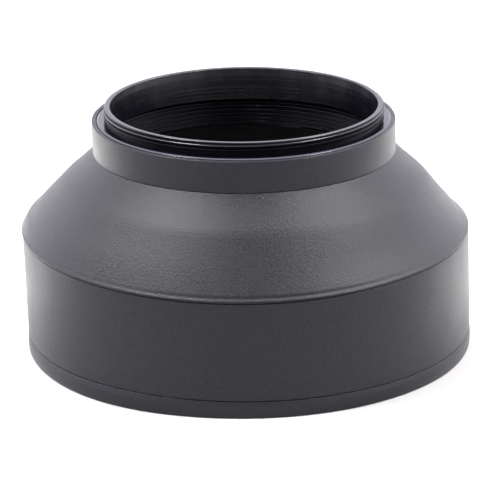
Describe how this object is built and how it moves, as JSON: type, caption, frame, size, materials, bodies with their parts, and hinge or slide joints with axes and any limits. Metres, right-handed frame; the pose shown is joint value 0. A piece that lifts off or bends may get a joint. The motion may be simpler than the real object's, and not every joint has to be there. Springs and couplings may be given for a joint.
{
  "type": "lens hood",
  "caption": "Folding rubber lens hood: screw-in metal ring, straight collar, cone that folds back in two steps, and a wide cylindrical front.",
  "frame": {"origin": "centre of the flat face of the front rim, which the hood stands on", "axes": "+Z along the optical axis, from the front rim towards the lens thread; X and Y are free, because the hood is round"},
  "size_m": [0.0786, 0.0786, 0.0435],
  "materials": {
    "anodised_metal": "turned and black anodised, glossy",
    "satin_rubber": "smooth satin moulding",
    "grained_rubber": "finely pebbled matt moulding"
  },
  "bodies": {
    "front": {"front_rim": "satin_rubber", "front_barrel": "satin_rubber", "shoulder_bead": "grained_rubber", "outer_cone": "grained_rubber"},
    "middle": {"middle_fold": "grained_rubber", "inner_cone": "grained_rubber"},
    "collar": {"rubber_collar": "satin_rubber"},
    "ring": {"mount_ring": "anodised_metal", "retaining_ring": "anodised_metal"}
  },
  "joints": [
    {"name": "outer_fold", "type": "slide", "parent": "front", "child": "middle", "axis": [0, 0, -1], "range_m": [0, 0.0152], "deforming": ["outer_cone"]},
    {"name": "inner_fold", "type": "slide", "parent": "middle", "child": "collar", "axis": [0, 0, -1], "range_m": [0, 0.0098], "deforming": ["inner_cone"]},
    {"name": "ring_turn", "type": "hinge", "parent": "collar", "child": "ring", "pos_m": [0, 0, 0.03805], "axis": [0, 0, 1], "continuous": true}
  ]
}
